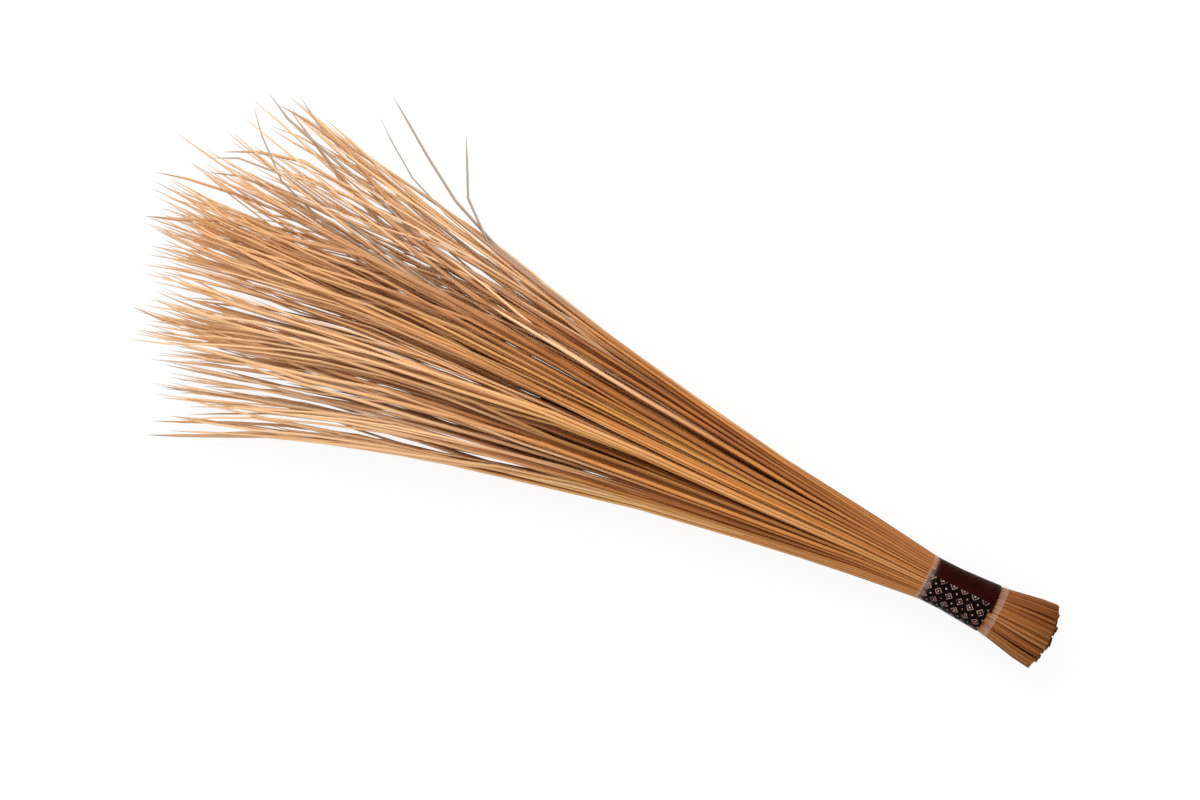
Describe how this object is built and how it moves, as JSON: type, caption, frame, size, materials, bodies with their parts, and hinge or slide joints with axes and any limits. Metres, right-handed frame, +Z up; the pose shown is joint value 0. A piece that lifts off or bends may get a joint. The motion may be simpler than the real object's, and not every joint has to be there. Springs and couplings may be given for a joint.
{
  "type": "stick broom",
  "caption": "Stick broom lying flat: stiff leaf ribs bound into a flared round grip under a printed band and clear film, spreading into a wide fan.",
  "frame": {"origin": "middle of the footprint on the surface that the broom lies on", "axes": "+X along the grip towards the butt ends, +Y across the fan, +Z up"},
  "size_m": [0.9004, 0.3484, 0.1032],
  "materials": {
    "ribs": "dry leaf rib, orange brown, satin, paler towards the tips",
    "ring": "plain steel, brushed",
    "band": "dark maroon and black printed strip with a pale ornament",
    "film": "clear film, glossy, slightly wrinkled"
  },
  "bodies": {
    "root": {"rib_hank_1": "ribs", "rib_hank_2": "ribs", "rib_hank_3": "ribs", "rib_hank_4": "ribs", "binding_ring": "ring", "printed_band": "band", "clear_film": "film"}
  },
  "joints": []
}
